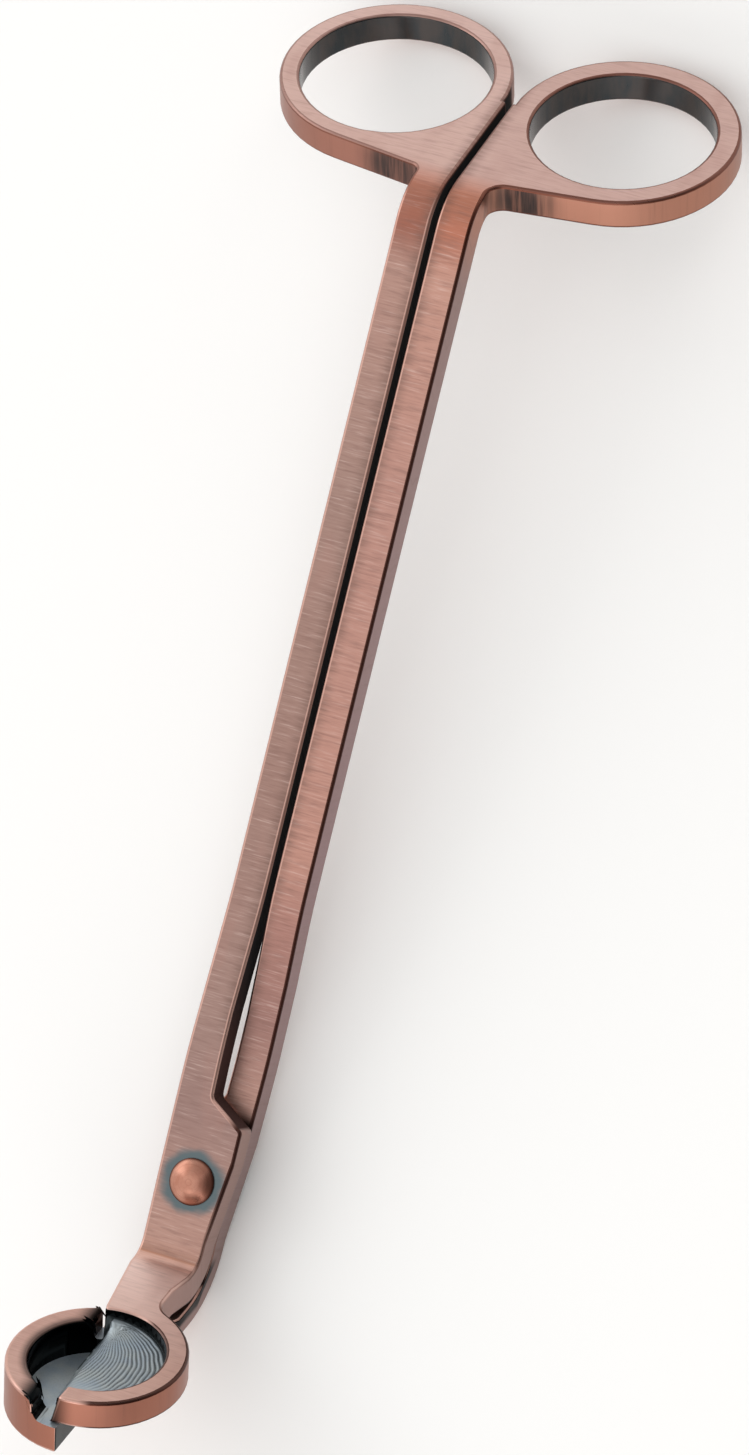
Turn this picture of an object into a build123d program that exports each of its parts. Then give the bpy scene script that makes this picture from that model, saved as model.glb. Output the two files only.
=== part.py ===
"""Candle wick trimmer: two crossing plate levers on one rivet, with finger rings and a round cutting cup.

Tool frame: origin on the pivot axis between the two levers, +X towards the tray lever's handle, +Y up the
arms to the rings, +Z to the rivet's head. The row frame is that of the table the tool lies on: +Z up, +Y
from the cup to the rings, origin on the table under the middle of the tool.
"""
from math import asin, atan2, cos, degrees, hypot, radians, sin, sqrt, tan
import os

from build123d import *

os.makedirs("parts", exist_ok=True)

# Levers
plate = 3.85                # thickness of both levers
sliding_gap = 0.06          # between the levers where they lie flat on each other
arm_outer_x = 4.75          # outer edge of an arm, from the centre line
arm_inner_x = 0.4           # inner edge of an arm

# Finger rings: the ring plane is bent down from the arms
ring_bend = 52.25           # degrees
ring_bend_y = 121.2         # where the two top planes would meet
ring_bend_radius = 7.8      # on the outside of the bend
ring_centre_x = 14.9
ring_centre_u = 20.3        # from the bend line to the ring centre, in the ring plane
ring_radius = 14.15
left_hole_radius = 11.7
right_hole_radius = 11.2
ring_web_angle = 8.0        # the ring's lower side runs into the arm at this slope
left_ring_fillet = 1.2
right_ring_fillet = 2.2

# Joggle: each arm steps half a plate, so that the levers pass one over the other
joggle_top_y = 34.5
joggle_bottom_y = 15.0
joggle_radius = 60.0

# Pivot plates
notch_y = 10.4
notch_inner_x = 0.05
notch_corner_y = 7.4
pivot_half_width = 4.6
notch_fillet = 1.0
corner_fillet = 0.8

# Head: the cup plane is bent up from the arms
head_bend = 61.0            # degrees
head_bend_y = 11.85         # below the pivot, where the two inner planes would meet
head_bend_radius = 2.7      # on the inside of the bend
neck_relief = 1.15          # the tray lever bends this much further out, clear of the blade's neck
neck_drop = 0.85            # and its top slopes down this much on the way there
neck_turn_y = -2.6          # the slope starts here, below the pivot
neck_turn_radius = 25.0
neck_start_y = 7.0          # the sides of the necks are parallel from here
neck_bend_v = 4.8           # to here, beyond the bend
blade_neck_left = 4.5
blade_neck_right = 3.45
blade_waist_x = 2.75        # the narrowest part of the blade's neck
neck_waist_v = 8.0
waist_fillet = 2.5
tray_neck_left = 4.3
tray_neck_right = 3.2
cup_gap = 0.24              # between the blade and the tray
cup_radius = 10.73
cup_hole_radius = 8.0
blade_cup_v = 22.5          # from the bend line to the centre of the blade half
tray_cup_v = 23.2           # from the bend line to the centre of the tray half
blade_edge_x = -2.5         # the cutting edge
blade_edge_front_x = -1.8   # its front end
blade_back_x = -3.1         # the two ends of the blade's rim
blade_back_v = 14.0
blade_front_x = -1.0        # at the rim's foot
blade_front_v = 30.0
blade_front_lean = 1.0      # the rim's front end leans back by this much up to its top
blade_edge_thick = 0.25
blade_rim_drop = 1.15       # from the rim's top down to the ground face at the outer wall
tray_edge_x = 0.1           # the tray's shearing edge
tray_lip_x = -2.3           # inner side of the lip behind the shearing edge
tray_floor = 2.25           # depth of the tray's floor below the blade
tray_wall = 2.55            # height of the tray's outer wall above the blade's underside
wall_back_x = -3.8          # the two ends of the tray's outer wall
wall_back_round = 0.8
wall_front_x = -3.2
wall_front_round = 0.9
wall_front_toe = 1.1        # radius at the foot of the front end
tray_back_v = 13.5          # the tray stands up to the blade from here on

# Rivet
rivet_radius = 1.5
rivet_clearance = 0.05
rivet_head_radius = 2.87
rivet_head_edge = 0.35
rivet_head_height = 1.15
rivet_tail_radius = 2.3
rivet_tail_height = 0.55

ring_length = ring_centre_u + ring_radius + 3
head_length = tray_cup_v + cup_radius + 3
half_plate = plate / 2
half_gap = sliding_gap / 2


def turned(length, angle):
    """A step of this length in the side view, at this angle to the arms' own direction."""
    return (length * cos(radians(angle)), length * sin(radians(angle)))


def stepped(point, step):
    return (point[0] + step[0], point[1] + step[1])


# Side view of the bends: first number along the arms, second towards the rivet's head
bend_centre_up = plate + head_bend_radius
bend_centre = (-head_bend_y + bend_centre_up * tan(radians(head_bend / 2)), bend_centre_up)
under_radius = head_bend_radius + 2 * plate + half_gap
ring_tip_top = stepped((ring_bend_y, half_plate), turned(ring_centre_u + ring_radius, -ring_bend))
ring_tip_low = stepped(ring_tip_top, turned(plate, -90 - ring_bend))
cup_tip_low = stepped((-head_bend_y, 0), turned(tray_cup_v + cup_radius, 180 - head_bend))
cup_tip_low = stepped(cup_tip_low, turned(plate, -90 - head_bend))

# The table touches the underside of the head bend and the tips of the rings
reach = stepped(ring_tip_low, (-bend_centre[0], -bend_centre[1]))
table_angle = degrees(-atan2(reach[1], reach[0]) - asin(under_radius / hypot(*reach)))


def on_table(point):
    """The same side-view point, seen level with the table."""
    along, up = point
    c = cos(radians(table_angle))
    s = sin(radians(table_angle))
    return (along * c - up * s, along * s + up * c)


tool_y = -(on_table(ring_tip_top)[0] + on_table(cup_tip_low)[0]) / 2
tool_z = under_radius - on_table(bend_centre)[1]

# Planes: tool (flat on the arms), side (the side view), ring (Y runs out along the ring) and head (Y runs
# back up to the bend, so places on the cup have a negative Y)
arm_up = (0, cos(radians(table_angle)), sin(radians(table_angle)))
tool = Plane((0, tool_y, tool_z), x_dir=(1, 0, 0), z_dir=(0, -arm_up[2], arm_up[1]))
side = Plane(tool.origin, x_dir=arm_up, z_dir=(1, 0, 0))
ring_plane = Plane(
    tool.from_local_coords(Vector(0, ring_bend_y, half_plate)),
    x_dir=(1, 0, 0),
    z_dir=tool.z_dir.rotate(Axis.X, -ring_bend),
)
head_plane = Plane(
    tool.from_local_coords(Vector(0, -head_bend_y, 0)),
    x_dir=(1, 0, 0),
    z_dir=tool.z_dir.rotate(Axis.X, -head_bend),
)
cup_section = Plane(head_plane.origin, x_dir=(1, 0, 0), z_dir=-head_plane.y_dir)
ring_split = Plane(ring_plane.origin, x_dir=(1, 0, 0), z_dir=tool.y_dir.rotate(Axis.X, -ring_bend / 2))
head_split = Plane(head_plane.origin, x_dir=(1, 0, 0), z_dir=tool.y_dir.rotate(Axis.X, -head_bend / 2))


def cap_arc(radius, foot, height):
    """Half the outline of a round cap centred on the pivot axis, rising from its foot by this height."""
    sphere = (radius**2 + height**2) / (2 * abs(height))
    middle = sqrt(sphere**2 - radius**2 / 4) - sphere + abs(height)
    rise = 1 if height > 0 else -1
    return ThreePointArc((radius, foot), (radius / 2, foot + rise * middle), (0, foot + height))


def bent_strip(top_joggle, low_joggle, relief, drop):
    """A wide plate with all the bends of one lever: the joggle ends at these two heights, and the top of
    the head's bend lies this much further out than the bottom's, at the end of a slope of this drop."""
    thickness_turn = tan(radians(ring_bend / 2)) * plate
    ring_way = turned(ring_length, -ring_bend)
    head_way = turned(head_length, 180 - head_bend)
    head_turn = tan(radians(head_bend / 2))
    top = (ring_bend_y, half_plate)
    low = (ring_bend_y - thickness_turn, -half_plate)
    top_head = (-head_bend_y - relief + head_turn * top_joggle, top_joggle)
    top_head = stepped(top_head, turned(drop / sin(radians(head_bend)), -head_bend))
    neck_turn = [(neck_turn_y, top_joggle)] if drop else []
    neck_turn_radii = [neck_turn_radius] if drop else []
    low_head = (-head_bend_y + head_turn * low_joggle, low_joggle)
    top_path = [
        stepped(top, ring_way),
        top,
        (joggle_top_y, half_plate),
        (joggle_bottom_y, top_joggle),
        *neck_turn,
        top_head,
        stepped(top_head, head_way),
    ]
    low_path = [
        stepped(low, ring_way),
        low,
        (joggle_top_y, -half_plate),
        (joggle_bottom_y, low_joggle),
        low_head,
        stepped(low_head, head_way),
    ]
    top_radius = head_bend_radius + plate - top_joggle
    low_radius = head_bend_radius + plate - low_joggle
    top_radii = [ring_bend_radius, joggle_radius, joggle_radius, *neck_turn_radii, top_radius]
    with BuildPart() as strip:
        with BuildSketch(side):
            with BuildLine():
                FilletPolyline(top_path, radius=top_radii)
                FilletPolyline(
                    low_path, radius=[ring_bend_radius - plate, joggle_radius, joggle_radius, low_radius]
                )
                Line(top_path[0], low_path[0])
                Line(top_path[-1], low_path[-1])
            make_face()
        extrude(amount=ring_centre_x + ring_radius + 5, both=True)
    return strip.part


def ring_outline(hand, hole_radius, fillet_radius):
    """One finger ring with the top of its arm; hand is -1 for the left ring and 1 for the right."""
    centre = (hand * ring_centre_x, ring_centre_u)
    web_x = ring_centre_x + ring_radius * sin(radians(ring_web_angle))
    web_u = ring_centre_u - ring_radius * cos(radians(ring_web_angle))
    corner_u = web_u - (web_x - arm_outer_x) * tan(radians(ring_web_angle))
    with BuildSketch(ring_plane) as outline:
        with BuildLine():
            Polyline(
                (hand * arm_inner_x, -ring_length),
                (hand * arm_inner_x, ring_centre_u),
                centre,
                (hand * web_x, web_u),
                (hand * arm_outer_x, corner_u),
                (hand * arm_outer_x, -ring_length),
                close=True,
            )
        make_face()
        corner = outline.vertices().sort_by_distance((hand * arm_outer_x, corner_u))
        fillet(corner[0], radius=fillet_radius)
        with Locations(centre):
            Circle(ring_radius)
            Circle(hole_radius, mode=Mode.SUBTRACT)
    return outline.sketch


def arm_outline(hand, outer_side, far_side):
    """An arm and its pivot plate; hand is the arm's own side. Below the notch the plate crosses the centre
    line, and the two lists are its sides from there down to the head's bend."""
    far = ring_bend_y + ring_length
    with BuildSketch(tool) as outline:
        with BuildLine():
            Polyline(
                (hand * arm_inner_x, far),
                (hand * arm_inner_x, 2 * notch_y),
                (hand * notch_inner_x, notch_y),
                *far_side,
                *reversed(outer_side),
                (hand * arm_outer_x, joggle_bottom_y + notch_y),
                (hand * arm_outer_x, far),
                close=True,
            )
        make_face()
        corners = (((hand * notch_inner_x, notch_y), notch_fillet), (far_side[0], corner_fillet))
        for place, radius in corners:
            corner = outline.vertices().sort_by_distance(place)
            fillet(corner[0], radius=radius)
    return outline.sketch


def zone(strip, outline, lower=None, upper=None):
    """The stretch of a bent plate between two planes, cut to this outline square to the outline's plane."""
    with BuildPart() as stretch:
        add(strip)
        if lower:
            split(bisect_by=lower, keep=Keep.TOP)
        if upper:
            split(bisect_by=upper, keep=Keep.BOTTOM)
        extrude(outline, amount=ring_length * 2, both=True, mode=Mode.INTERSECT)
    return stretch.part


# Outlines of the blade lever, from the ring to the cup
blade_ring_outline = ring_outline(-1, left_hole_radius, left_ring_fillet)
blade_arm_outline = arm_outline(
    -1,
    outer_side=[
        (-pivot_half_width, 0),
        (-blade_neck_left, -neck_start_y),
        (-blade_neck_left, -3 * neck_start_y),
    ],
    far_side=[
        (pivot_half_width, notch_corner_y),
        (pivot_half_width, 3),
        (blade_neck_right, -neck_start_y),
        (blade_neck_right, -3 * neck_start_y),
    ],
)
with BuildSketch(head_plane) as blade_head_outline:
    with BuildLine():
        Polyline(
            (-blade_neck_left, neck_start_y),
            (-blade_neck_left, -blade_cup_v),
            (blade_waist_x, -blade_cup_v),
            (blade_waist_x, -neck_waist_v),
            (blade_neck_right, -neck_bend_v),
            (blade_neck_right, neck_start_y),
            close=True,
        )
    make_face()
    with Locations((0, -blade_cup_v)):
        Circle(cup_radius)
    with BuildLine():
        Polyline(
            (-blade_neck_left, neck_start_y),
            (-blade_neck_left, -neck_bend_v),
            (blade_back_x, -blade_back_v),
            (blade_edge_x, -blade_back_v - 2),
            (blade_edge_x, -blade_cup_v),
            (blade_edge_front_x, -blade_front_v),
            (blade_front_x, -blade_front_v),
            (blade_front_x, -blade_cup_v - cup_radius),
            (2 * cup_radius, -blade_cup_v - cup_radius),
            (2 * cup_radius, neck_start_y),
            close=True,
        )
    make_face(mode=Mode.INTERSECT)
    waist_y = sqrt(cup_radius**2 - blade_waist_x**2) - blade_cup_v
    waist = blade_head_outline.vertices().sort_by_distance((blade_waist_x, waist_y))
    fillet(waist[0], radius=waist_fillet)

# Outlines of the tray lever
tray_ring_outline = ring_outline(1, right_hole_radius, right_ring_fillet)
tray_arm_outline = arm_outline(
    1,
    outer_side=[
        (arm_outer_x - 0.5, joggle_bottom_y / 3),
        (tray_neck_right, -neck_start_y),
        (tray_neck_right, -3 * neck_start_y),
    ],
    far_side=[
        (-pivot_half_width + 0.1, notch_corner_y),
        (-pivot_half_width + 0.1, 0),
        (-tray_neck_left, -neck_start_y),
        (-tray_neck_left, -3 * neck_start_y),
    ],
)
with BuildSketch(head_plane) as tray_neck_outline:
    with BuildLine():
        Polyline(
            (-tray_neck_left, neck_start_y),
            (-tray_neck_left, -tray_back_v - 3),
            (tray_edge_x, -tray_back_v - 3),
            (tray_edge_x, -tray_back_v + 1),
            (tray_neck_right, -neck_bend_v - 2),
            (tray_neck_right, neck_start_y),
            close=True,
        )
    make_face()
# The blade half is ground hollow: a slope from the cutting edge up to the foot of the rim's inner wall
edge_w = half_gap + blade_edge_thick
with BuildPart() as ground_face:
    with BuildSketch(cup_section):
        with BuildLine():
            Polyline(
                (blade_edge_x - 5, edge_w),
                (blade_edge_x, edge_w),
                (cup_hole_radius, plate - blade_rim_drop),
                (cup_hole_radius + 1, plate - blade_rim_drop),
                (cup_hole_radius + 1, 2 * plate),
                (blade_edge_x - 5, 2 * plate),
                close=True,
            )
        make_face()
    extrude(amount=head_length)
    with BuildSketch(head_plane):
        with Locations((0, -blade_cup_v)):
            Circle(cup_hole_radius)
    extrude(amount=3 * plate, both=True, mode=Mode.INTERSECT)

# The front end of the blade's rim leans back
with BuildPart() as front_lean:
    with BuildSketch(cup_section.offset(blade_front_v)):
        with BuildLine():
            Polyline(
                (blade_front_x, half_gap),
                (blade_front_x + blade_front_lean, half_gap + plate),
                (blade_front_x + 2 * blade_front_lean, half_gap + 2 * plate),
                (blade_edge_x, half_gap + 2 * plate),
                (blade_edge_x, half_gap),
                close=True,
            )
        make_face()
    extrude(amount=cup_radius)

# Blade lever: left ring, upper plate at the pivot, right half of the cup
with BuildPart() as blade_lever:
    blade_strip = bent_strip(plate + half_gap, half_gap, 0, 0)
    add(zone(blade_strip, blade_ring_outline, lower=ring_split))
    add(zone(blade_strip, blade_arm_outline, lower=head_split, upper=ring_split))
    add(zone(blade_strip, blade_head_outline.sketch, upper=head_split))
    add(ground_face.part, mode=Mode.SUBTRACT)
    add(front_lean.part, mode=Mode.SUBTRACT)
    with Locations(tool):
        Hole(rivet_radius + rivet_clearance)
blade_lever.part.label = "blade_lever"
export_step(blade_lever.part, "parts/blade_lever.step")

# Tray lever: right ring, lower plate at the pivot, left half of the cup with its floor and tall wall
with BuildPart() as tray_lever:
    tray_strip = bent_strip(-half_gap, -plate - half_gap, neck_relief, neck_drop)
    add(zone(tray_strip, tray_ring_outline, lower=ring_split))
    add(zone(tray_strip, tray_arm_outline, lower=head_split, upper=ring_split))
    add(zone(tray_strip, tray_neck_outline.sketch, upper=head_split))
    with BuildSketch(head_plane.offset(-plate - half_gap)) as disc:
        with Locations((0, -tray_cup_v)):
            Circle(cup_radius)
        with Locations((tray_edge_x, -tray_back_v)):
            Rectangle(2 * cup_radius, 2 * cup_radius, align=(Align.MAX, Align.MAX), mode=Mode.INTERSECT)
    extrude(amount=plate + sliding_gap - cup_gap)
    with BuildSketch(head_plane.offset(half_gap - cup_gap)) as wall:
        with Locations((0, -tray_cup_v)):
            Circle(cup_radius)
            Circle(cup_hole_radius, mode=Mode.SUBTRACT)
        with BuildLine():
            Polyline(
                (wall_back_x, cup_radius - tray_cup_v),
                (wall_front_x, -cup_radius - tray_cup_v),
                (-2 * cup_radius, -cup_radius - tray_cup_v),
                (-2 * cup_radius, cup_radius - tray_cup_v),
                close=True,
            )
        make_face(mode=Mode.INTERSECT)
    extrude(amount=tray_wall + cup_gap - half_gap)
    wall_middle = (cup_radius + cup_hole_radius) / 2
    ends = (
        (wall_front_x, -wall_middle, tray_wall, wall_front_round),
        (wall_front_x, -wall_middle, half_gap - cup_gap, wall_front_toe),
        (wall_back_x, wall_middle, tray_wall, wall_back_round),
    )
    for x, y, height, radius in ends:
        end = head_plane.from_local_coords(Vector(x, y - tray_cup_v, height))
        fillet(tray_lever.edges().sort_by_distance(end)[0], radius=radius)
    with BuildSketch(head_plane.offset(-tray_floor)):
        with Locations((0, -tray_cup_v)):
            Circle(cup_hole_radius)
        with Locations((tray_lip_x, -tray_cup_v)):
            Rectangle(2 * cup_radius, 2 * cup_radius, align=(Align.MAX, Align.CENTER), mode=Mode.INTERSECT)
    extrude(amount=2 * plate, mode=Mode.SUBTRACT)
    with Locations(tool):
        Hole(rivet_radius)
tray_lever.part.label = "tray_lever"
export_step(tray_lever.part, "parts/tray_lever.step")

# Rivet: domed head over the blade lever, shank through both, low tail under the tray lever
head_foot = plate + half_gap + rivet_clearance
tail_foot = -plate - half_gap
dome_foot = head_foot + rivet_head_edge
with BuildPart() as pivot_rivet:
    with BuildSketch(side):
        with BuildLine():
            Polyline(
                (rivet_tail_radius, tail_foot),
                (rivet_radius, tail_foot),
                (rivet_radius, head_foot),
                (rivet_head_radius, head_foot),
                (rivet_head_radius, dome_foot),
            )
            cap_arc(rivet_head_radius, dome_foot, rivet_head_height - rivet_head_edge)
            Line((0, head_foot + rivet_head_height), (0, tail_foot - rivet_tail_height))
            cap_arc(rivet_tail_radius, tail_foot, -rivet_tail_height)
        make_face()
    revolve(axis=Axis(tool.origin, tool.z_dir))
pivot_rivet.part.label = "pivot_rivet"
export_step(pivot_rivet.part, "parts/pivot_rivet.step")
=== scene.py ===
"""Looks of the candle wick trimmer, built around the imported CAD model, which is loaded as a fixed frame.

Lengths in the sections are in millimetres, and go into the meshes in metres.
"""
from math import acos, atan2, cos, degrees, hypot, pi, radians, sin, sqrt

import bmesh
import bpy
from mathutils import Matrix, Vector, noise


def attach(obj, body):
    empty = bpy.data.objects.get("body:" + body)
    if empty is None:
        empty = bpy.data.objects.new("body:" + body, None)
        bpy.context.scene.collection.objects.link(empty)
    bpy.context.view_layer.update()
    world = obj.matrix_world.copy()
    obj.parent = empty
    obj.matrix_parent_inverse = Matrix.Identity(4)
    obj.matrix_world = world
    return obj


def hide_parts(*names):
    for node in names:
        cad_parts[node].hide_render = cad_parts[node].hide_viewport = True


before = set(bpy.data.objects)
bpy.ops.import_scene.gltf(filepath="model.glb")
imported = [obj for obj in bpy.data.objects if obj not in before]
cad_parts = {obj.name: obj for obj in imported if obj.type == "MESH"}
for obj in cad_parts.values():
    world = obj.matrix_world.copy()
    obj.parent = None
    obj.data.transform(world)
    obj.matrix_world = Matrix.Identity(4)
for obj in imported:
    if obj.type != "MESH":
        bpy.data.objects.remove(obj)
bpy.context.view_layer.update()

# Camera: a long lens, nearly square on to the arms, a little from the right of the tool.
MM = 0.001
camera_place = (363.431, -51.575, 1022.866)
camera_turn = (8.6032, 17.7429, 17.6995)
camera_lens = 222.7
camera_film = 36.0

camera_data = bpy.data.cameras.new("camera")
camera_data.sensor_fit = "VERTICAL"
camera_data.sensor_height = camera_film
camera_data.lens = camera_lens
camera_data.clip_start = 0.05
camera_data.clip_end = 20
camera = bpy.data.objects.new("camera", camera_data)
camera.location = Vector(camera_place) * MM
camera.rotation_euler = [radians(a) for a in camera_turn]
bpy.context.scene.collection.objects.link(camera)
bpy.context.scene.camera = camera
bpy.context.scene.view_settings.view_transform = "Standard"

# Blade lever: a steel plate 3.85 mm thick, cut out, bent near both ends and plated in antique copper. It has
# the left finger ring and, at the other end, the half of the cup that is ground hollow to a cutting edge.
# The plating is brushed across the tool, with bright scratches rubbed into the flats; the sides are painted
# darker as shade, the bends carry a painted sheen and the edges painted highlights and shade, the finger
# holes and cup are blackened, and the gaps where the levers meet hold patina and painted shade.
table_tilt = 9.128
ring_bend = 52.25
head_bend = 61.0
ring_bend_y = 121.2
head_bend_y = -11.85
edge_round = 0.38
ring_centre = Vector((14.9, 20.3))
cup_hole_radius = 8.0
blade_cup_v = 22.5
blade_edge_x = -2.5
blade_edge_w = 0.28
ground_slope = 13.0
ground_top_w = 2.85
ground_fall = 0.11
ripple_grid = 0.14


def placed(x, y, z, tilt):
    """A frame at this place, turned about X by this many degrees."""
    return Matrix.Translation(Vector((x, y, z)) * MM) @ Matrix.Rotation(radians(tilt), 4, "X")


arm_frame = placed(0, -54.41365, 5.230759, table_tilt)
ring_frame = placed(0, 64.946148, 26.358564, table_tilt - ring_bend)
head_frame = placed(0, -66.113587, 3.350874, table_tilt - head_bend)
ring_split = Matrix.Rotation(radians(table_tilt - ring_bend / 2), 3, "X") @ Vector((0, 1, 0))
head_split = Matrix.Rotation(radians(table_tilt - head_bend / 2), 3, "X") @ Vector((0, 1, 0))


def on_plate(point):
    """The stretch of the plate a point is in, and its place there in mm: across, along and through."""
    if (point - ring_frame.translation).dot(ring_split) > 0:
        local = ring_frame.inverted() @ point / MM
        return "ring", local
    if (point - head_frame.translation).dot(head_split) < 0:
        local = head_frame.inverted() @ point / MM
        return "head", local
    return "arm", arm_frame.inverted() @ point / MM


stretch_turn = {
    "ring": ring_frame.to_3x3().transposed(),
    "head": head_frame.to_3x3().transposed(),
    "arm": arm_frame.to_3x3().transposed(),
}


def plate_copy(cad_node):
    """The plate of a CAD node as a clean mesh, with its outer edges rounded. Cutting edges stay sharp."""
    mesh = bmesh.new()
    mesh.from_mesh(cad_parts[cad_node].data)
    bmesh.ops.remove_doubles(mesh, verts=mesh.verts[:], dist=1e-6)
    bmesh.ops.dissolve_limit(mesh, angle_limit=radians(0.5), verts=mesh.verts[:], edges=mesh.edges[:])
    rim = mesh.faces.layers.float.new("rim")
    outer = []
    for edge in mesh.edges:
        if edge.calc_face_angle_signed(0) < radians(40):
            continue
        middle = (edge.verts[0].co + edge.verts[1].co) / 2
        stretch, place = on_plate(middle)
        keen = stretch == "head" and place.x < 0.5 and abs(place.z) < 0.5 and place.y < -13
        rivet_hole = stretch == "arm" and hypot(place.x, place.y) < 2
        if not keen and not rivet_hole:
            outer.append(edge)
    made = bmesh.ops.bevel(
        mesh,
        geom=outer,
        affect="EDGES",
        offset_type="OFFSET",
        offset=edge_round * MM,
        segments=3,
        profile=0.5,
        material=-1,
        clamp_overlap=False,
        loop_slide=True,
    )
    for face in made["faces"]:
        face[rim] = 1.0
    return mesh


def plate_piece(name, mesh, materials):
    """A finished plate lever, with the places and masks that its plating's pattern reads."""
    bmesh.ops.recalc_face_normals(mesh, faces=mesh.faces[:])
    side = mesh.faces.layers.float.new("side")
    lay = mesh.verts.layers.float_vector.new("lay")
    for vert in mesh.verts:
        stretch, place = on_plate(vert.co)
        start = {"ring": ring_bend_y, "arm": 0.0, "head": head_bend_y}[stretch]
        vert[lay] = (place.x, place.y + start, place.z)
    for face in mesh.faces:
        stretch, place = on_plate(face.calc_center_median())
        normal = stretch_turn[stretch] @ face.normal
        face[side] = 1.0 if abs(normal.z) < 0.5 else 0.0
    data = bpy.data.meshes.new(name)
    mesh.to_mesh(data)
    mesh.free()
    for face in data.polygons:
        face.use_smooth = True
    data.set_sharp_from_angle(angle=radians(35))
    for material in materials:
        data.materials.append(material)
    piece = bpy.data.objects.new(name, data)
    bpy.context.scene.collection.objects.link(piece)
    even = piece.modifiers.new("even shading", "WEIGHTED_NORMAL")
    even.keep_sharp = True
    return piece


def linear(colour):
    """An sRGB hex colour as linear RGBA."""
    parts = [int(colour[i : i + 2], 16) / 255 for i in (1, 3, 5)]
    return [p / 12.92 if p <= 0.04045 else ((p + 0.055) / 1.055) ** 2.4 for p in parts] + [1.0]


def node(tree, kind, inputs=None, out=0, **settings):
    """Adds a node with its settings, gives its inputs their values, hex colours or links, and hands on one of
    its outputs."""
    made = tree.nodes.new("ShaderNode" + kind)
    for name, value in settings.items():
        setattr(made, name, value)
    for key, value in (inputs or {}).items():
        if isinstance(value, bpy.types.NodeSocket):
            tree.links.new(value, made.inputs[key])
        else:
            made.inputs[key].default_value = linear(value) if isinstance(value, str) else value
    return made.outputs[out] if made.outputs else None


def new_material(name):
    material = bpy.data.materials.new(name)
    material.use_nodes = True
    material.node_tree.nodes.clear()
    return material, material.node_tree


def tint_and_painted_light_along(tree, s, stops):
    """A colour that changes slowly along the lever, partly the plating's own tone and partly painted light: a
    painted sheen at the bends, and stretches painted lighter or darker for how the light falls on them; each
    stop is a place in mm and a hex colour.
    """
    low, high = -46, 158
    share = node(tree, "MapRange", {"From Min": low, "From Max": high, "Value": s})
    made = node(tree, "ValToRGB", {"Fac": share})
    ramp = made.node.color_ramp
    while len(ramp.elements) > 1:
        ramp.elements.remove(ramp.elements[0])
    for index, (along, colour) in enumerate(stops):
        place = (along - low) / (high - low)
        element = ramp.elements[0] if index == 0 else ramp.elements.new(place)
        element.position = place
        element.color = linear(colour)
    return made


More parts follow.
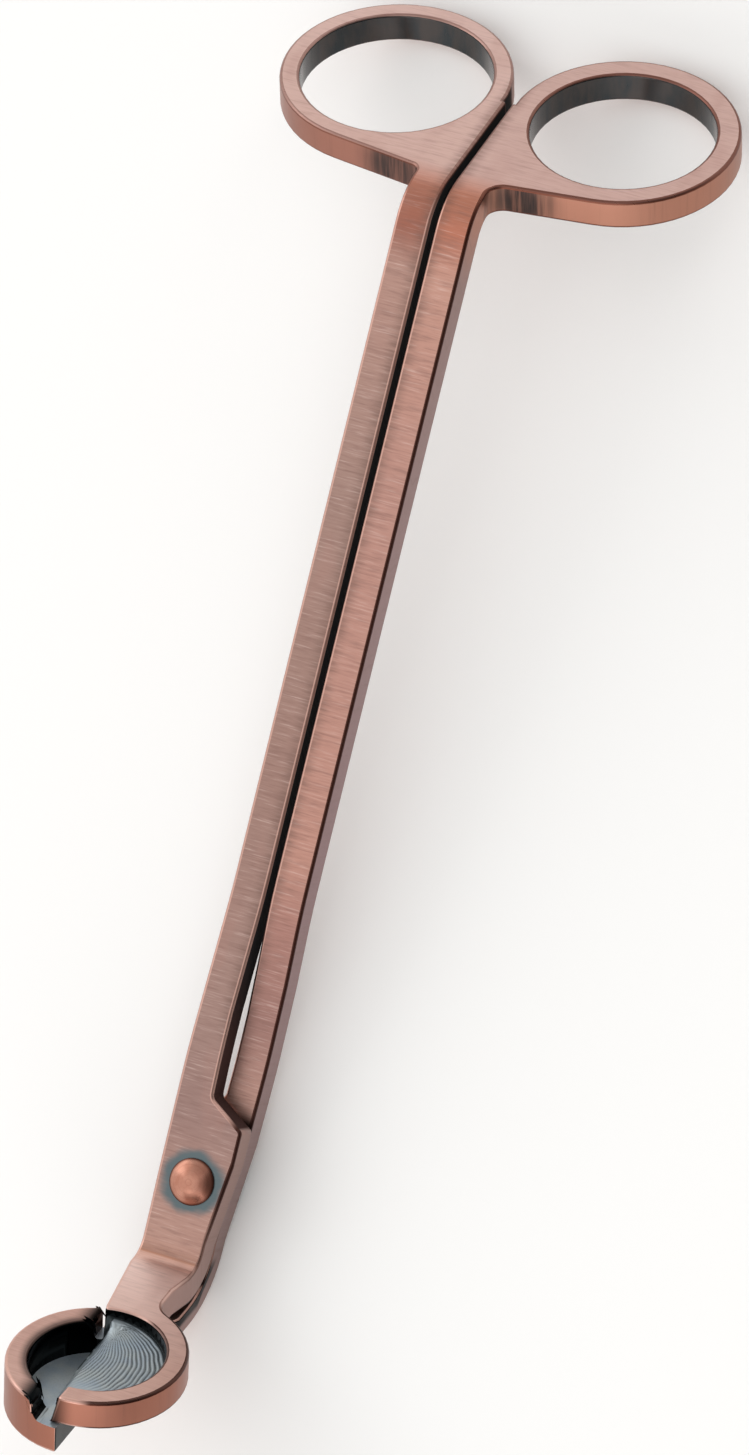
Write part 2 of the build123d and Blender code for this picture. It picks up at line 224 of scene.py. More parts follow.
def antique_copper(name, flat_stops_and_painted_light, wall_stops_and_painted_light, hand, cup_v, cup_mask):
    """Antique copper plating on steel, brushed across the tool: fine bright and dark scratches on the flats,
    sides painted darker as shade, patina and painted shade where the levers face each other, dark lines of
    painted shade where they meet, and painted highlights and shade on the rounded edges."""
    material, tree = new_material(name)
    lay = node(tree, "Attribute", out="Vector", attribute_name="lay")
    side = node(tree, "Attribute", out="Fac", attribute_name="side")
    rim = node(tree, "Attribute", out="Fac", attribute_name="rim")
    x, s, w = node(tree, "SeparateXYZ", {0: lay}).node.outputs
    flatness = node(tree, "Math", {0: 1.0, 1: side}, operation="SUBTRACT")

    def grain(scale, detail, roughness):
        way = node(tree, "Mapping", {"Scale": scale, "Vector": lay})
        return node(
            tree, "TexNoise", {"Scale": 1.0, "Detail": detail, "Roughness": roughness, "Vector": way}, "Fac"
        )

    # Brushing: scratches 0.25 mm apart and 3 to 8 mm long, drawn that coarse to show
    scratch = grain((0.22, 4.0, 0.5), 4.0, 0.6)
    streak = grain((0.25, 1.6, 0.3), 3.0, 0.6)
    cloud = grain((0.25, 0.09, 0.1), 2.0, 0.5)
    # The flats' tints carry a painted sheen at the bends, and painted light and shade from stretch to stretch
    flat = tint_and_painted_light_along(tree, s, flat_stops_and_painted_light)
    calm = node(
        tree,
        "MapRange",
        {"Value": s, "From Min": 112, "From Max": 126, "To Min": 1.0, "To Max": 0.55},
        interpolation_type="SMOOTHSTEP",
    )
    calm = node(
        tree,
        "Math",
        {
            0: calm,
            1: node(
                tree,
                "MapRange",
                {"Value": s, "From Min": -14, "From Max": -20, "To Min": 1.0, "To Max": 0.5},
                interpolation_type="SMOOTHSTEP",
            ),
        },
        operation="MULTIPLY",
    )
    # Each kind of mark is a grain, the values it starts and is full at, its strength and its colour
    for marks, start, full, most, colour in (
        (streak, 0.45, 0.8, 0.45, "#80625b"),
        (scratch, 0.5, 0.8, 0.5, "#765851"),
        (scratch, 0.48, 0.22, 0.35, "#e0c6bd"),
    ):
        share = node(
            tree,
            "MapRange",
            {"Value": marks, "From Min": start, "From Max": full, "To Min": 0, "To Max": most},
            interpolation_type="SMOOTHSTEP",
        )
        share = node(tree, "Math", {0: share, 1: calm}, operation="MULTIPLY")
        flat = node(tree, "Mix", {0: share, 6: flat, 7: colour}, 2, data_type="RGBA")
    flat = node(
        tree,
        "Mix",
        {
            0: node(
                tree,
                "MapRange",
                {"Value": cloud, "From Min": 0.5, "From Max": 0.8, "To Min": 0, "To Max": 0.3},
                interpolation_type="SMOOTHSTEP",
            ),
            6: flat,
            7: "#a98075",
        },
        2,
        data_type="RGBA",
    )
    # Sides: painted darker than the flats as shade, with faint streaks of patina through the plate's
    # thickness
    wall_streak = grain((1.3, 1.3, 0.06), 4.0, 0.6)
    wall = tint_and_painted_light_along(tree, s, wall_stops_and_painted_light)
    wall = node(
        tree,
        "Mix",
        {
            0: node(
                tree,
                "MapRange",
                {"Value": wall_streak, "From Min": 0.5, "From Max": 0.85, "To Min": 0, "To Max": 0.35},
                interpolation_type="SMOOTHSTEP",
            ),
            6: wall,
            7: "#6f524a",
        },
        2,
        data_type="RGBA",
    )
    body = node(tree, "Mix", {0: side, 6: flat, 7: wall}, 2, data_type="RGBA")
    # Patina left in the web corner, under each ring
    corner = node(
        tree,
        "VectorMath",
        {1: (hand * 8.5, ring_bend_y + 4.3, -1.9), 0: lay},
        "Value",
        operation="DISTANCE",
    )
    corner_mask = node(
        tree,
        "Math",
        {
            0: node(
                tree,
                "MapRange",
                {"Value": corner, "From Min": 6.0, "From Max": 1.5},
                interpolation_type="SMOOTHSTEP",
            ),
            1: side,
        },
        operation="MULTIPLY",
    )
    corner_mask = node(
        tree,
        "Math",
        {
            0: corner_mask,
            1: node(
                tree,
                "MapRange",
                {"Value": wall_streak, "From Min": 0.3, "From Max": 0.6, "To Min": 0.5, "To Max": 1.0},
                interpolation_type="SMOOTHSTEP",
            ),
        },
        operation="MULTIPLY",
    )
    body = node(tree, "Mix", {0: corner_mask, 6: body, 7: "#403735"}, 2, data_type="RGBA")
    # Brown-black patina and painted shade between the two arms and in the notches, and grime rubbed off them
    # on to the flats
    middle = node(tree, "Math", {0: x}, operation="ABSOLUTE")
    between_patina_and_shade = node(
        tree,
        "Math",
        {
            0: node(
                tree,
                "MapRange",
                {"Value": middle, "From Min": 1.3, "From Max": 0.9},
                interpolation_type="SMOOTHSTEP",
            ),
            1: node(
                tree,
                "MapRange",
                {"Value": s, "From Min": 8.0, "From Max": 9.5},
                interpolation_type="SMOOTHSTEP",
            ),
        },
        operation="MULTIPLY",
    )
    notch_patina_and_shade = node(
        tree,
        "Math",
        {
            0: node(
                tree,
                "MapRange",
                {"Value": middle, "From Min": 4.35, "From Max": 4.0},
                interpolation_type="SMOOTHSTEP",
            ),
            1: node(
                tree,
                "MapRange",
                {"Value": s, "From Min": 6.0, "From Max": 7.2},
                interpolation_type="SMOOTHSTEP",
            ),
        },
        operation="MULTIPLY",
    )
    notch_patina_and_shade = node(
        tree,
        "Math",
        {
            0: notch_patina_and_shade,
            1: node(
                tree,
                "MapRange",
                {"Value": s, "From Min": 16, "From Max": 12},
                interpolation_type="SMOOTHSTEP",
            ),
        },
        operation="MULTIPLY",
    )
    between_patina_and_shade = node(
        tree,
        "Math",
        {0: node(tree, "Math", {0: between_patina_and_shade, 1: notch_patina_and_shade}, operation="MAXIMUM"), 1: side},
        operation="MULTIPLY",
    )
    body = node(
        tree,
        "Mix",
        {
            0: between_patina_and_shade,
            6: body,
            7: node(
                tree,
                "Mix",
                {
                    0: node(
                        tree,
                        "MapRange",
                        {"Value": s, "From Min": 14, "From Max": 30},
                        interpolation_type="SMOOTHSTEP",
                    ),
                    6: "#3a1a13",
                    7: "#0a0504",
                },
                2,
                data_type="RGBA",
            ),
        },
        2,
        data_type="RGBA",
    )
    grime = node(
        tree,
        "Math",
        {
            0: node(
                tree,
                "MapRange",
                {"Value": middle, "From Min": 2.4, "From Max": 0.4, "To Min": 0, "To Max": 0.55},
                interpolation_type="SMOOTHSTEP",
            ),
            1: flatness,
        },
        operation="MULTIPLY",
    )
    grime = node(
        tree,
        "Math",
        {
            0: grime,
            1: node(
                tree,
                "MapRange",
                {"Value": streak, "From Min": 0.3, "From Max": 0.6, "To Min": 0.4, "To Max": 1.0},
                interpolation_type="SMOOTHSTEP",
            ),
        },
        operation="MULTIPLY",
    )
    grime = node(
        tree,
        "Math",
        {
            0: grime,
            1: node(
                tree,
                "MapRange",
                {"Value": s, "From Min": 15, "From Max": 22},
                interpolation_type="SMOOTHSTEP",
            ),
        },
        operation="MULTIPLY",
    )
    body = node(tree, "Mix", {0: grime, 6: body, 7: "#6b544c"}, 2, data_type="RGBA")
    # Heat-grey ring where the rivet was closed
    flatwise = node(tree, "Mapping", {"Scale": (1, 1, 0), "Vector": lay})
    from_pivot = node(tree, "VectorMath", {0: flatwise}, "Value", operation="LENGTH")
    wander = grain((0.35, 0.35, 0.35), 2.0, 0.5)
    wobble = node(
        tree,
        "Math",
        {0: node(tree, "Math", {0: wander, 1: 0.5}, operation="SUBTRACT"), 1: 1.6},
        operation="MULTIPLY",
    )
    wobble = node(
        tree,
        "Math",
        {
            0: wobble,
            1: node(
                tree,
                "Math",
                {0: node(tree, "Math", {0: streak, 1: 0.5}, operation="SUBTRACT"), 1: 0.5},
                operation="MULTIPLY",
            ),
        },
        operation="ADD",
    )
    halo = node(
        tree,
        "MapRange",
        {
            "Value": node(tree, "Math", {0: from_pivot, 1: wobble}, operation="ADD"),
            "From Min": 4.6,
            "From Max": 3.2,
        },
        interpolation_type="SMOOTHSTEP",
    )
    halo = node(tree, "Math", {0: halo, 1: flatness}, operation="MULTIPLY")
    body = node(tree, "Mix", {0: halo, 6: body, 7: "#5d686b"}, 2, data_type="RGBA")
    # Black left round the hollow of the cup and at the ends of its walls
    from_cup = node(
        tree, "VectorMath", {1: (0, head_bend_y - cup_v, 0), 0: flatwise}, "Value", operation="DISTANCE"
    )
    at_head = node(
        tree, "MapRange", {"Value": s, "From Min": -24, "From Max": -25}, interpolation_type="SMOOTHSTEP"
    )
    black = node(
        tree,
        "MapRange",
        {"Value": from_cup, "From Min": 8.1 + cup_mask, "From Max": 7.9},
        interpolation_type="SMOOTHSTEP",
    )
    black = node(
        tree,
        "Math",
        {
            0: node(tree, "Math", {0: black, 1: at_head}, operation="MULTIPLY"),
            1: node(
                tree,
                "MapRange",
                {"Value": w, "From Min": 0.6, "From Max": 1.0},
                interpolation_type="SMOOTHSTEP",
            ),
        },
        operation="MULTIPLY",
    )
    if hand > 0:
        end = node(
            tree,
            "Math",
            {
                0: node(
                    tree,
                    "MapRange",
                    {"Value": x, "From Min": -6.6, "From Max": -3.9},
                    interpolation_type="SMOOTHSTEP",
                ),
                1: flatness,
            },
            operation="MULTIPLY",
        )
        end = node(
            tree,
            "Math",
            {
                0: end,
                1: node(
                    tree,
                    "MapRange",
                    {"Value": w, "From Min": -0.1, "From Max": 0.1},
                    interpolation_type="SMOOTHSTEP",
                ),
            },
            operation="MULTIPLY",
        )
    else:
        end = node(
            tree,
            "Math",
            {
                0: node(
                    tree,
                    "MapRange",
                    {"Value": x, "From Min": 2.2, "From Max": -0.8, "To Min": 0, "To Max": 0.85},
                    interpolation_type="SMOOTHSTEP",
                ),
                1: node(
                    tree,
                    "MapRange",
                    {"Value": s, "From Min": -39, "From Max": -41},
                    interpolation_type="SMOOTHSTEP",
                ),
            },
            operation="MULTIPLY",
        )
        end = node(tree, "Math", {0: end, 1: side}, operation="MULTIPLY")
    black = node(
        tree,
        "Math",
        {0: black, 1: node(tree, "Math", {0: end, 1: at_head}, operation="MULTIPLY")},
        operation="MAXIMUM",
    )
    body = node(tree, "Mix", {0: black, 6: body, 7: "#121414"}, 2, data_type="RGBA")
    # Rounded edges: a painted highlight on the left, painted shade on the right and round the rings
    right = node(
        tree, "MapRange", {"Value": x, "From Min": 2.0, "From Max": 4.0}, interpolation_type="SMOOTHSTEP"
    )
    edge = node(tree, "Mix", {0: right, 6: "#d0a496", 7: "#34160f"}, 2, data_type="RGBA")
    edge = node(
        tree,
        "Mix",
        {
            0: node(
                tree,
                "MapRange",
                {"Value": s, "From Min": 118, "From Max": 124},
                interpolation_type="SMOOTHSTEP",
            ),
            6: edge,
            7: "#6a3f33",
        },
        2,
        data_type="RGBA",
    )
    painted_edge_light_share = node(
        tree,
        "Math",
        {
            0: rim,
            1: node(
                tree,
                "Math",
                {0: 0.6, 1: node(tree, "Math", {0: right, 1: 0.3}, operation="MULTIPLY")},
                operation="ADD",
            ),
        },
        operation="MULTIPLY",
    )
    painted_edge_light_share = node(
        tree,
        "Math",
        {0: painted_edge_light_share, 1: node(tree, "Math", {0: 1.0, 1: black}, operation="SUBTRACT")},
        operation="MULTIPLY",
    )
    body = node(tree, "Mix", {0: painted_edge_light_share, 6: body, 7: edge}, 2, data_type="RGBA")
    # Painted shade: a dark line where the two plates lie on each other
    depth = node(tree, "Math", {0: w}, operation="ABSOLUTE")
    seam_shade = node(
        tree,
        "Math",
        {
            0: node(
                tree,
                "MapRange",
                {"Value": depth, "From Min": 0.5, "From Max": 0.1},
                interpolation_type="SMOOTHSTEP",
            ),
            1: node(
                tree,
                "MapRange",
                {"Value": s, "From Min": 9.5, "From Max": 7.5},
                interpolation_type="SMOOTHSTEP",
            ),
        },
        operation="MULTIPLY",
    )
    seam_shade = node(
        tree,
        "Math",
        {
            0: seam_shade,
            1: node(
                tree,
                "MapRange",
                {"Value": s, "From Min": -26, "From Max": -24},
                interpolation_type="SMOOTHSTEP",
            ),
        },
        operation="MULTIPLY",
    )
    body = node(tree, "Mix", {0: seam_shade, 6: body, 7: "#1d100e"}, 2, data_type="RGBA")
    if hand > 0:
        # The tray lever's neck stands off from the blade lever's there, and the gap between them is painted
        # black as shade
        neck_gap_shade = node(
            tree,
            "Math",
            {
                0: node(
                    tree,
                    "MapRange",
                    {"Value": w, "From Min": -2.7, "From Max": -1.9},
                    interpolation_type="SMOOTHSTEP",
                ),
                1: node(
                    tree,
                    "MapRange",
                    {"Value": s, "From Min": -8.5, "From Max": -10.5},
                    interpolation_type="SMOOTHSTEP",
                ),
            },
            operation="MULTIPLY",
        )
        neck_gap_shade = node(
            tree,
            "Math",
            {
                0: node(tree, "Math", {0: neck_gap_shade, 1: side}, operation="MULTIPLY"),
                1: node(
                    tree,
                    "MapRange",
                    {"Value": s, "From Min": -27, "From Max": -25},
                    interpolation_type="SMOOTHSTEP",
                ),
            },
            operation="MULTIPLY",
        )
        body = node(tree, "Mix", {0: neck_gap_shade, 6: body, 7: "#120d0c"}, 2, data_type="RGBA")
    metal = node(
        tree,
        "Math",
        {0: 1.0, 1: node(tree, "Math", {0: between_patina_and_shade, 1: 0.9}, operation="MULTIPLY")},
        operation="SUBTRACT",
    )
    shine = node(
        tree,
        "Math",
        {0: 0.33, 1: node(tree, "Math", {0: scratch, 1: 0.12}, operation="MULTIPLY")},
        operation="ADD",
    )
    shine = node(
        tree,
        "Math",
        {0: shine, 1: node(tree, "Math", {0: rim, 1: 0.1}, operation="MULTIPLY")},
        operation="SUBTRACT",
    )
    shine = node(tree, "Math", {0: shine, 1: between_patina_and_shade}, operation="MAXIMUM")
    bump = node(tree, "Bump", {"Strength": 0.1, "Distance": 0.00004, "Height": scratch})
    shader = node(
        tree, "BsdfPrincipled", {"Base Color": body, "Roughness": shine, "Metallic": metal, "Normal": bump}
    )
    node(tree, "OutputMaterial", {"Surface": shader})
    return material


def black_plating():
    """Copper plating that was blackened and never rubbed, in the finger holes and inside the cup: smooth,
    dark grey to green-black, with a soft gloss."""
    material, tree = new_material("blackened_copper_plating")
    lay = node(tree, "Attribute", out="Vector", attribute_name="lay")
    way = node(tree, "Mapping", {"Scale": (0.5, 0.5, 0.12), "Vector": lay})
    cloud = node(tree, "TexNoise", {"Scale": 1.0, "Detail": 4.0, "Roughness": 0.6, "Vector": way}, "Fac")
    axes = node(tree, "SeparateXYZ", {0: lay})
    colour = node(
        tree,
        "Mix",
        {
            0: node(
                tree,
                "MapRange",
                {"Value": cloud, "From Min": 0.35, "From Max": 0.7},
                interpolation_type="SMOOTHSTEP",
            ),
            6: "#4a4543",
            7: "#3a3e40",
        },
        2,
        data_type="RGBA",
    )
    colour = node(
        tree,
        "Mix",
        {
            0: node(
                tree,
                "MapRange",
                {"Value": axes.node.outputs[1], "From Min": 20, "From Max": -10},
                interpolation_type="SMOOTHSTEP",
            ),
            6: colour,
            7: "#0c0f10",
        },
        2,
        data_type="RGBA",
    )
    shine = node(
        tree,
        "MapRange",
        {"Value": cloud, "From Min": 0.2, "From Max": 0.8, "To Min": 0.18, "To Max": 0.3},
        interpolation_type="SMOOTHSTEP",
    )
    shader = node(tree, "BsdfPrincipled", {"Metallic": 1.0, "Base Color": colour, "Roughness": shine})
    node(tree, "OutputMaterial", {"Surface": shader})
    return material


def ground_steel():
    """Steel ground with a small wheel after plating: bare grey-blue metal with a satin shine and fine grit
    marks, and painted shade in the valleys of the wheel's passes, along the cutting edge and at the foot of
    the rim wall."""
    material, tree = new_material("ground_steel")
    lay = node(tree, "Attribute", out="Vector", attribute_name="lay")
    ground_shade = node(tree, "Attribute", out="Fac", attribute_name="ground_shade")
    grit = node(tree, "TexNoise", {"Scale": 5.0, "Detail": 5.0, "Roughness": 0.7, "Vector": lay}, "Fac")
    cloud = node(tree, "TexNoise", {"Scale": 0.35, "Detail": 2.0, "Vector": lay}, "Fac")
    colour = node(
        tree,
        "Mix",
        {
            0: node(
                tree,
                "MapRange",
                {"Value": cloud, "From Min": 0.3, "From Max": 0.7},
                interpolation_type="SMOOTHSTEP",
            ),
            6: "#a9b1b3",
            7: "#98a5b0",
        },
        2,
        data_type="RGBA",
    )
    colour = node(
        tree,
        "Mix",
        {
            0: node(
                tree,
                "MapRange",
                {"Value": grit, "From Min": 0.45, "From Max": 0.75, "To Min": 0, "To Max": 0.35},
                interpolation_type="SMOOTHSTEP",
            ),
            6: colour,
            7: "#7c8487",
        },
        2,
        data_type="RGBA",
    )
    # Painted shade in the ripple valleys, along the cutting edge and at the foot of the rim wall
    colour = node(tree, "Mix", {0: ground_shade, 6: colour, 7: "#2c3335"}, 2, data_type="RGBA")
    shine = node(
        tree,
        "MapRange",
        {"Value": grit, "From Min": 0.2, "From Max": 0.8, "To Min": 0.3, "To Max": 0.45},
        interpolation_type="SMOOTHSTEP",
    )
    bump = node(tree, "Bump", {"Strength": 0.15, "Distance": 0.00004, "Height": grit})
    shader = node(
        tree, "BsdfPrincipled", {"Metallic": 0.6, "Base Color": colour, "Roughness": shine, "Normal": bump}
    )
    node(tree, "OutputMaterial", {"Surface": shader})
    return material


# Tints along the blade lever, in mm: the plating's tone, with a painted sheen near the two bends, and the
# head's flats painted lighter and the arms darker for how the light falls; the walls' tints are painted
# darker than the flats as shade.
blade_flat_tints_and_painted_light = [
    (-34, "#c5a195"),
    (-17, "#e6c9c0"),
    (-14, "#cf9b86"),
    (-11, "#b5836d"),
    (-8, "#b08b7e"),
    (8, "#937770"),
    (20, "#9c7f76"),
    (50, "#98796f"),
    (85, "#9c7f75"),
    (112, "#ab877b"),
    (117, "#945f50"),
    (123, "#b87c68"),
    (127, "#cba99f"),
    (150, "#d0b0a7"),
]
blade_wall_tints_and_painted_light = [
    (-36, "#9c6857"),
    (-20, "#a5857d"),
    (10, "#a07f76"),
    (112, "#9a7b72"),
    (120, "#a06f60"),
    (150, "#946659"),
]
blade_copper = antique_copper(
    "brushed_antique_copper_left", blade_flat_tints_and_painted_light, blade_wall_tints_and_painted_light, -1, blade_cup_v, 0.15
)
blackened = black_plating()
steel = ground_steel()


def finish_faces(mesh, hand, cup_v, hole_radius, floor_w, ledge_w):
    """Gives each face its finish: 0 copper, 1 blackened plating, 2 ground steel."""
    for face in mesh.faces:
        stretch, place = on_plate(face.calc_center_median())
        normal = stretch_turn[stretch] @ face.normal
        upright = abs(normal.z) < 0.6
        if stretch == "ring":
            from_ring = hypot(place.x - hand * ring_centre.x, place.y - ring_centre.y)
            if upright and from_ring < hole_radius + 0.1:
                face.material_index = 1
        if stretch == "head" and place.y < -13:
            outwards = Vector((place.x, place.y + cup_v))
            facing = outwards.normalized().dot(Vector((normal.x, normal.y)))
            inwards = outwards.length < cup_hole_radius + 0.2 or facing < 0.4
            front_end = hand > 0 and place.y < -cup_v - 5 and place.x > -5.2 and place.z > -0.15
            if upright and inwards or front_end and facing < 0.6 and normal.z < 0.97:
                face.material_index = 1
            if normal.z > 0.9 and (abs(place.z - floor_w) < 0.1 or abs(place.z - ledge_w) < 0.1):
                face.material_index = 2


blade_mesh = plate_copy("blade_lever")
ground_normal = head_frame.to_3x3() @ Vector((-sin(radians(ground_slope)), 0, cos(radians(ground_slope))))
ground = blade_mesh.faces.layers.int.new("ground")
for face in blade_mesh.faces:
    stretch, place = on_plate(face.calc_center_median())
    sloped = face.normal.dot(ground_normal) > 0.998
    if stretch == "head" and sloped and hypot(place.x, place.y + blade_cup_v) < cup_hole_radius - 0.1:
        face[ground] = 1


def cut_ground(direction, start, stop):
    """Cuts the ground face into strips square to this direction of the head."""
    steps = int((stop - start) / ripple_grid)
    for step in range(steps + 1):
        offset = start + step * ripple_grid
        faces = [face for face in blade_mesh.faces if face[ground]]
        parts = dict.fromkeys(faces)
        for face in faces:
            parts.update(dict.fromkeys([*face.edges, *face.verts]))
        place = head_frame @ (direction * offset * MM)
        bmesh.ops.bisect_plane(
            blade_mesh, geom=list(parts), dist=1e-6, plane_co=place, plane_no=head_frame.to_3x3() @ direction
        )


cut_ground(Vector((1, 0, 0)), blade_edge_x, cup_hole_radius)
cut_ground(Vector((0, 1, 0)), -blade_cup_v - cup_hole_radius, -blade_cup_v + cup_hole_radius)

# The wheel was swung about the back end of the edge, pass by pass, from the rim over to the edge. Its passes
# left crescents that all start there, stepped down from the rim to the edge and worn smooth at the front.
wheel_radius = 7.6
swing_centre = Vector((-2.5, 15.5))
swing_start = 70.0
ground_rise = 0.6
ripple_turn = 4.4
edge_width = 0.8
edge_shade_width = 0.16
back_shadow_width = 0.7
ripple_height = 0.13


def smooth(value, low, high):
    t = min(max((value - low) / (high - low), 0), 1)
    return t * t * (3 - 2 * t)


def wheel_pass(x, v):
    """How far the wheel had swung, in degrees, when its rim ground this place of the head."""
    place = Vector((x, v)) - swing_centre
    lean = degrees(acos(min(place.length / (2 * wheel_radius), 1)))
    return max(degrees(atan2(place.y, place.x)) + lean - swing_start, 0.0)


ground_shade = blade_mesh.verts.layers.float.new("ground_shade")
head_out = head_frame.to_3x3() @ Vector((0, 0, 1))
moved = []
for vert in blade_mesh.verts:
    if any(f[ground] for f in vert.link_faces):
        place = head_frame.inverted() @ vert.co / MM
        x, v = place.x, -place.y
        passed = wheel_pass(x, v)
        last_pass = wheel_pass(blade_edge_x + 0.05, v)
        share = 1 - min(passed / last_pass, 1) if v > swing_centre.y + 0.3 else 1
        from_edge = smooth(x - blade_edge_x, 0.0, edge_width)
        from_edge = max(from_edge, 1 - smooth(v, swing_centre.y - 0.6, swing_centre.y + 1.2))
        top = ground_top_w - ground_fall * (x - blade_edge_x)
        height = blade_edge_w + (top - blade_edge_w) * share**ground_rise * from_edge
        passed += 1.6 * noise.noise(Vector((x * 0.5, v * 0.5, 3.0)))
        wave = 0.5 + 0.5 * cos(2 * pi * passed / ripple_turn)
        fade = 1 - smooth(v - 0.45 * x, 23.5, 28.5)
        fade *= smooth(cup_hole_radius - hypot(x, v - blade_cup_v), 0.02, 0.3) * from_edge
        fade *= smooth((Vector((x, v)) - swing_centre).length, 1.0, 3.0)
        # The ripple valleys are cut into the face, and the same share also paints shade into them
        deep = (1 - wave**0.6) * fade
        # Painted shade: a dark line along the cutting edge, with small nicks and wider at the back end, and a
        # dark band at the foot of the rim wall
        edge_shade_reach = edge_shade_width + 0.12 * noise.noise(Vector((v * 1.3, 7.0, 1.0)))
        edge_shade_reach += back_shadow_width * (1 - smooth(v, 16, 18))
        edge_shade = 1.2 if x - blade_edge_x < edge_shade_reach else 0
        wall_foot_shade = 1 - smooth(cup_hole_radius - hypot(x, v - blade_cup_v), 0.15, 0.55)
        moved.append((vert, height - place.z - deep * ripple_height, max(deep, edge_shade, wall_foot_shade)))
for vert, lift, deep in moved:
    vert.co += head_out * lift * MM
    vert[ground_shade] = min(max(deep, 0.0) ** 1.1, 1.0)
left_hole_radius = 11.7
no_such_level = 99.0
finish_faces(blade_mesh, -1, blade_cup_v, left_hole_radius, no_such_level, no_such_level)
for face in blade_mesh.faces:
    if face[ground]:
        face.material_index = 2
blade = plate_piece("blade_lever_plated", blade_mesh, [blade_copper, blackened, steel])
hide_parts("blade_lever")
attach(blade, "blade")

# Tray lever: the same plate and plating, bent to pass under the blade lever. It has the right finger ring and
# the other half of the cup, whose floor is milled down behind a narrow lip, inside a tall blackened wall.
tray_cup_v = 23.2
# Tints along the tray lever, in mm: the plating's tone, with a painted sheen near the two bends and stretches
# painted lighter or darker for how the light falls; the walls' tints are painted darker than the flats as
# shade.
tray_flat_tints_and_painted_light = [
    (-34, "#c29d91"),
    (-13, "#b98f82"),
    (3, "#a07c71"),
    (11, "#b08a7e"),
    (20, "#957169"),
    (32, "#a1776d"),
    (40, "#b38678"),
    (85, "#b0867a"),
    (112, "#b98d7e"),
    (117, "#ad705c"),
    (123, "#bd7f69"),
    (127, "#c5a39a"),
    (150, "#c6a59c"),
]
tray_wall_tints_and_painted_light = [
    (-36, "#986453"),
    (-20, "#9a7f79"),
    (40, "#97797a"),
    (112, "#977a75"),
    (120, "#b5806c"),
    (150, "#a3725f"),
]
tray_copper = antique_copper(
    "brushed_antique_copper_right", tray_flat_tints_and_painted_light, tray_wall_tints_and_painted_light, 1, tray_cup_v, 1.3
)
right_hole_radius = 11.2
tray_floor_w = -2.25
tray_lip_w = -0.21
tray_mesh = plate_copy("tray_lever")
finish_faces(tray_mesh, 1, tray_cup_v, right_hole_radius, tray_floor_w, tray_lip_w)
tray = plate_piece("tray_lever_plated", tray_mesh, [tray_copper, blackened, steel])
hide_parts("tray_lever")
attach(tray, "tray")

# Rivet: turned and plated steel, pressed through both levers, with a low polished head that shows fine rings
# from the lathe. Its low tail is closed against the tray lever.
rivet_foot = 3.94
rivet_height = 1.1
rivet_edge = 0.1
rivet_radius = 2.86
shank_radius = 1.5
rivet_outline = [(0.0, rivet_foot + rivet_height)]
cap_height = rivet_height - rivet_edge
cap_sphere = (rivet_radius**2 + cap_height**2) / (2 * cap_height)
for step in range(1, 19):
    out = (rivet_radius - 0.06) * step / 18
    drop = cap_sphere - sqrt(cap_sphere**2 - out**2)
    rivet_outline.append((out, rivet_foot + rivet_height - drop))
rivet_outline += [
    (rivet_radius, rivet_foot + rivet_edge),
    (rivet_radius - 0.04, rivet_foot),
    (shank_radius, rivet_foot),
    (shank_radius, -3.88),
    (2.2, -3.88),
    (2.3, -3.95),
    (2.1, -4.12),
    (1.4, -4.32),
    (0.7, -4.41),
    (0.0, -4.43),
]


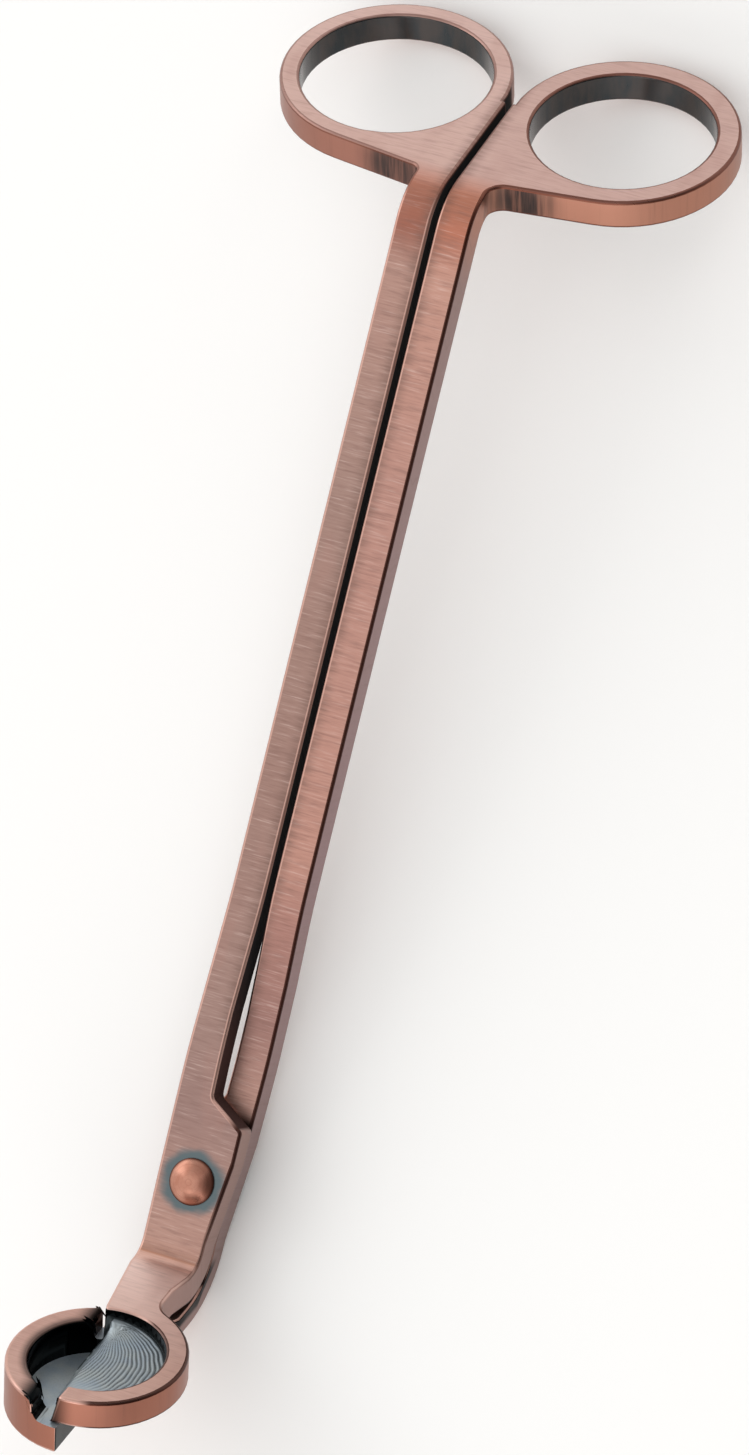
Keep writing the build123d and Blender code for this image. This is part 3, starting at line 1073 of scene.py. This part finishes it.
def turned_copper():
    """Copper plating on a turned head: smoother than the plates and redder, with rings 0.25 mm apart, painted
    shade over its +X half and a painted shadow round its foot."""
    material, tree = new_material("turned_antique_copper")
    place = node(tree, "TexCoord", out="Object")
    origin = arm_frame.translation
    local = node(
        tree,
        "Mapping",
        {
            "Location": origin,
            "Rotation": (radians(table_tilt), 0, 0),
            "Scale": (MM, MM, MM),
            "Vector": place,
        },
        vector_type="TEXTURE",
    )
    flatwise = node(tree, "Mapping", {"Scale": (1, 1, 0), "Vector": local})
    out = node(tree, "VectorMath", {0: flatwise}, "Value", operation="LENGTH")
    cloud = node(tree, "TexNoise", {"Scale": 0.9, "Detail": 3.0, "Vector": local}, "Fac")
    ring_line = node(tree, "CombineXYZ", {0: node(tree, "Math", {0: out, 1: 4.0}, operation="MULTIPLY")})
    rings = node(tree, "TexNoise", {"Scale": 1.0, "Detail": 2.0, "Vector": ring_line}, "Fac")
    across = node(tree, "SeparateXYZ", {0: local})
    colour = node(
        tree,
        "Mix",
        {
            0: node(
                tree,
                "MapRange",
                {"Value": cloud, "From Min": 0.3, "From Max": 0.8},
                interpolation_type="SMOOTHSTEP",
            ),
            6: "#b98572",
            7: "#a8725f",
        },
        2,
        data_type="RGBA",
    )
    # Painted shade: the head darkens towards its +X side
    colour = node(
        tree,
        "Mix",
        {
            0: node(
                tree,
                "MapRange",
                {"Value": across, "From Min": 0.0, "From Max": 2.4, "To Min": 0, "To Max": 0.75},
                interpolation_type="SMOOTHSTEP",
            ),
            6: colour,
            7: "#6b3f33",
        },
        2,
        data_type="RGBA",
    )
    colour = node(
        tree,
        "Mix",
        {
            0: node(
                tree,
                "MapRange",
                {"Value": rings, "From Min": 0.5, "From Max": 0.75, "To Min": 0, "To Max": 0.3},
                interpolation_type="SMOOTHSTEP",
            ),
            6: colour,
            7: "#7b4c3e",
        },
        2,
        data_type="RGBA",
    )
    # Painted shadow round the foot of the head
    colour = node(
        tree,
        "Mix",
        {
            0: node(
                tree,
                "MapRange",
                {"Value": out, "From Min": 2.5, "From Max": 2.85},
                interpolation_type="SMOOTHSTEP",
            ),
            6: colour,
            7: "#4a2a22",
        },
        2,
        data_type="RGBA",
    )
    bump = node(tree, "Bump", {"Strength": 0.2, "Distance": 0.00004, "Height": rings})
    shader = node(
        tree,
        "BsdfPrincipled",
        {
            "Metallic": 1.0,
            "Base Color": colour,
            "Roughness": node(
                tree,
                "MapRange",
                {"Value": cloud, "From Min": 0.2, "From Max": 0.8, "To Min": 0.24, "To Max": 0.36},
                interpolation_type="SMOOTHSTEP",
            ),
            "Normal": bump,
        },
    )
    node(tree, "OutputMaterial", {"Surface": shader})
    return material


rivet_mesh = bmesh.new()
profile_verts = [rivet_mesh.verts.new(arm_frame @ (Vector((r, 0, z)) * MM)) for r, z in rivet_outline]
profile_edges = [rivet_mesh.edges.new(pair) for pair in zip(profile_verts, profile_verts[1:])]
bmesh.ops.spin(
    rivet_mesh,
    geom=profile_verts + profile_edges,
    cent=arm_frame.translation,
    axis=arm_frame.to_3x3() @ Vector((0, 0, 1)),
    angle=2 * pi,
    steps=72,
    use_merge=True,
)
bmesh.ops.remove_doubles(rivet_mesh, verts=rivet_mesh.verts[:], dist=1e-6)
bmesh.ops.recalc_face_normals(rivet_mesh, faces=rivet_mesh.faces[:])
rivet_data = bpy.data.meshes.new("rivet_turned")
rivet_mesh.to_mesh(rivet_data)
rivet_mesh.free()
for face in rivet_data.polygons:
    face.use_smooth = True
rivet_data.set_sharp_from_angle(angle=radians(50))
rivet_data.materials.append(turned_copper())
rivet = bpy.data.objects.new("rivet_turned", rivet_data)
bpy.context.scene.collection.objects.link(rivet)
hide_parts("pivot_rivet")
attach(rivet, "tray")

# Floor: a plain matt white table top, which the tool lies on.
floor_size = 4.0
floor_mesh = bmesh.new()
bmesh.ops.create_grid(floor_mesh, x_segments=1, y_segments=1, size=floor_size / 2)
floor_data = bpy.data.meshes.new("floor")
floor_mesh.to_mesh(floor_data)
floor_mesh.free()
floor = bpy.data.objects.new("floor", floor_data)
floor_material, floor_tree = new_material("matt_white_board")
floor_shader = node(floor_tree, "BsdfPrincipled", {"Base Color": "#fbfaf8", "Roughness": 0.9})
node(floor_tree, "OutputMaterial", {"Surface": floor_shader})
floor_data.materials.append(floor_material)
bpy.context.scene.collection.objects.link(floor)

# Studio light: an even pale dome, and two large soft boxes.
dome = bpy.data.worlds.new("studio")
dome.use_nodes = True
dome.node_tree.nodes.clear()
dome_tree = dome.node_tree
way = node(dome_tree, "TexCoord", out="Generated")


def flagged(towards_way, wide, narrow, level):
    """The dome's light, held back to this level by a flag in this direction."""
    towards = node(
        dome_tree,
        "VectorMath",
        {1: Vector(towards_way).normalized(), 0: way},
        "Value",
        operation="DOT_PRODUCT",
    )
    return node(
        dome_tree,
        "MapRange",
        {"Value": towards, "From Min": wide, "From Max": narrow, "To Min": 1.0, "To Max": level},
        interpolation_type="SMOOTHSTEP",
    )


light_level = node(
    dome_tree,
    "Math",
    {0: flagged((-0.25, 0.62, 0.74), 0.75, 0.96, 0.6), 1: flagged((0.93, 0.05, 0.37), 0.52, 0.86, 0.2)},
    operation="MULTIPLY",
)
light_level = node(dome_tree, "Math", {0: light_level, 1: 1.22}, operation="MULTIPLY")
sky = node(dome_tree, "Background", {"Color": "#ffffff", "Strength": light_level})
node(dome.node_tree, "OutputWorld", {"Surface": sky})
bpy.context.scene.world = dome


def soft_box(name, place, target, size, power):
    data = bpy.data.lights.new(name, "AREA")
    data.shape = "RECTANGLE"
    data.size, data.size_y = size
    data.energy = power
    light = bpy.data.objects.new(name, data)
    light.location = place
    light.rotation_euler = (Vector(target) - Vector(place)).to_track_quat("-Z", "Y").to_euler()
    bpy.context.scene.collection.objects.link(light)


soft_box("soft_box_left", (-1.3, 0.5, 0.9), (0, 0, 0), (1.2, 1.2), 4)
soft_box("soft_box_front", (0.1, -1.4, 0.9), (0, 0, 0), (1.4, 0.8), 4)
